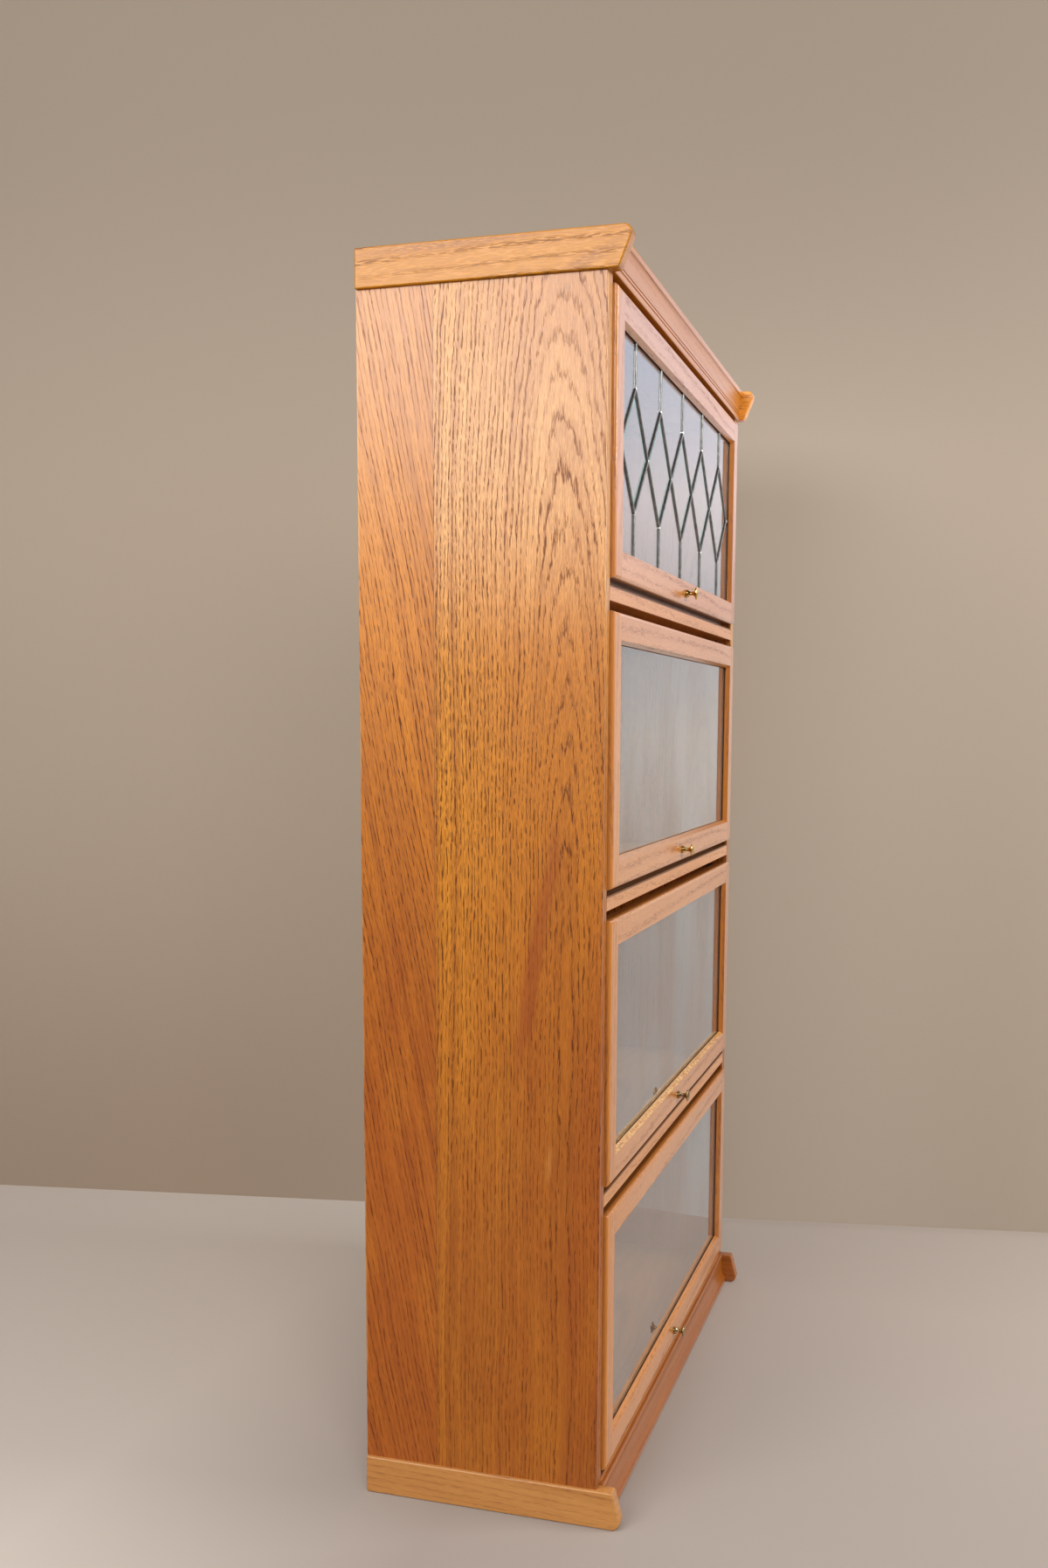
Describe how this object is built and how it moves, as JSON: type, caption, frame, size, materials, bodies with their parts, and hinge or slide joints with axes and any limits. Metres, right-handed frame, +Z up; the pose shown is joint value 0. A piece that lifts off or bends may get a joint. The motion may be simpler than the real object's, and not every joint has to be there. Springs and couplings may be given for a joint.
{
  "type": "display cabinet",
  "caption": "Tall oak bookcase with glazed doors that lift and slide back over their shelves, the top one leaded in a diamond pattern.",
  "frame": {"origin": "middle of the case's width at the floor, in the plane of the side panels' front edges", "axes": "+X to the right seen from the front, -Y out of the front, +Z up"},
  "size_m": [0.92, 0.3495, 1.598],
  "materials": {
    "oak_case": "satin varnished oak, vertical grain",
    "oak_inside": "satin varnished oak",
    "oak_edge": "satin varnished oak lipping",
    "oak_ends": "satin varnished oak, honey coloured",
    "oak_mouldings": "satin varnished oak",
    "oak_door": "satin varnished oak, rounded edges",
    "oak_ply": "oak-faced board, matt",
    "runner_nylon": "dark nylon",
    "glass": "clear, polished",
    "lead": "grey lead came with bright solder drops",
    "brass": "polished and lacquered"
  },
  "bodies": {
    "carcase": {"left_side_panel": "oak_case", "right_side_panel": "oak_case", "back_panel": "oak_ply", "bottom_board": "oak_inside", "bottom_board_lipping": "oak_edge", "crown_left_end": "oak_ends", "crown_right_end": "oak_ends", "crown_moulding": "oak_mouldings", "crown_top_board": "oak_case", "crown_back_rail": "oak_inside", "base_left_end": "oak_ends", "base_right_end": "oak_ends", "base_moulding": "oak_mouldings", "base_back_rail": "oak_inside", "shelf_1": "oak_inside", "shelf_1_lipping": "oak_edge", "shelf_2": "oak_inside", "shelf_2_lipping": "oak_edge", "shelf_3": "oak_inside", "shelf_3_lipping": "oak_edge", "door_stop_1": "oak_inside", "door_stop_2": "oak_inside", "door_stop_3": "oak_inside", "door_stop_4": "oak_inside"},
    "door_1_runners": {"door_1_left_runner": "runner_nylon", "door_1_right_runner": "runner_nylon"},
    "door_1": {"door_1_left_stile": "oak_door", "door_1_right_stile": "oak_door", "door_1_top_rail": "oak_door", "door_1_bottom_rail": "oak_door", "door_1_glass": "glass", "door_1_knob": "brass", "door_1_lead_front": "lead", "door_1_lead_back": "lead"},
    "door_2_runners": {"door_2_left_runner": "runner_nylon", "door_2_right_runner": "runner_nylon"},
    "door_2": {"door_2_left_stile": "oak_door", "door_2_right_stile": "oak_door", "door_2_top_rail": "oak_door", "door_2_bottom_rail": "oak_door", "door_2_glass": "glass", "door_2_knob": "brass"},
    "door_3_runners": {"door_3_left_runner": "runner_nylon", "door_3_right_runner": "runner_nylon"},
    "door_3": {"door_3_left_stile": "oak_door", "door_3_right_stile": "oak_door", "door_3_top_rail": "oak_door", "door_3_bottom_rail": "oak_door", "door_3_glass": "glass", "door_3_knob": "brass"},
    "door_4_runners": {"door_4_left_runner": "runner_nylon", "door_4_right_runner": "runner_nylon"},
    "door_4": {"door_4_left_stile": "oak_door", "door_4_right_stile": "oak_door", "door_4_top_rail": "oak_door", "door_4_bottom_rail": "oak_door", "door_4_glass": "glass", "door_4_knob": "brass"}
  },
  "joints": [
    {"name": "door_1_lift", "type": "hinge", "parent": "door_1_runners", "child": "door_1", "pos_m": [0, 0.008, 1.5331], "axis": [-1, 0, 0], "range_deg": [0, 90]},
    {"name": "door_1_slide", "type": "slide", "parent": "carcase", "child": "door_1_runners", "axis": [0, 1, 0], "range_m": [0, 0.27]},
    {"name": "door_2_lift", "type": "hinge", "parent": "door_2_runners", "child": "door_2", "pos_m": [0, 0.008, 1.1544], "axis": [-1, 0, 0], "range_deg": [0, 90]},
    {"name": "door_2_slide", "type": "slide", "parent": "carcase", "child": "door_2_runners", "axis": [0, 1, 0], "range_m": [0, 0.27]},
    {"name": "door_3_lift", "type": "hinge", "parent": "door_3_runners", "child": "door_3", "pos_m": [0, 0.008, 0.7757], "axis": [-1, 0, 0], "range_deg": [0, 90]},
    {"name": "door_3_slide", "type": "slide", "parent": "carcase", "child": "door_3_runners", "axis": [0, 1, 0], "range_m": [0, 0.27]},
    {"name": "door_4_lift", "type": "hinge", "parent": "door_4_runners", "child": "door_4", "pos_m": [0, 0.008, 0.397], "axis": [-1, 0, 0], "range_deg": [0, 90]},
    {"name": "door_4_slide", "type": "slide", "parent": "carcase", "child": "door_4_runners", "axis": [0, 1, 0], "range_m": [0, 0.27]}
  ],
  "couplings": [
    {"joint": "door_1_slide", "follows": "door_1_lift", "m_per_rad": 0.1718},
    {"joint": "door_2_slide", "follows": "door_2_lift", "m_per_rad": 0.1718},
    {"joint": "door_3_slide", "follows": "door_3_lift", "m_per_rad": 0.1718},
    {"joint": "door_4_slide", "follows": "door_4_lift", "m_per_rad": 0.1718}
  ]
}
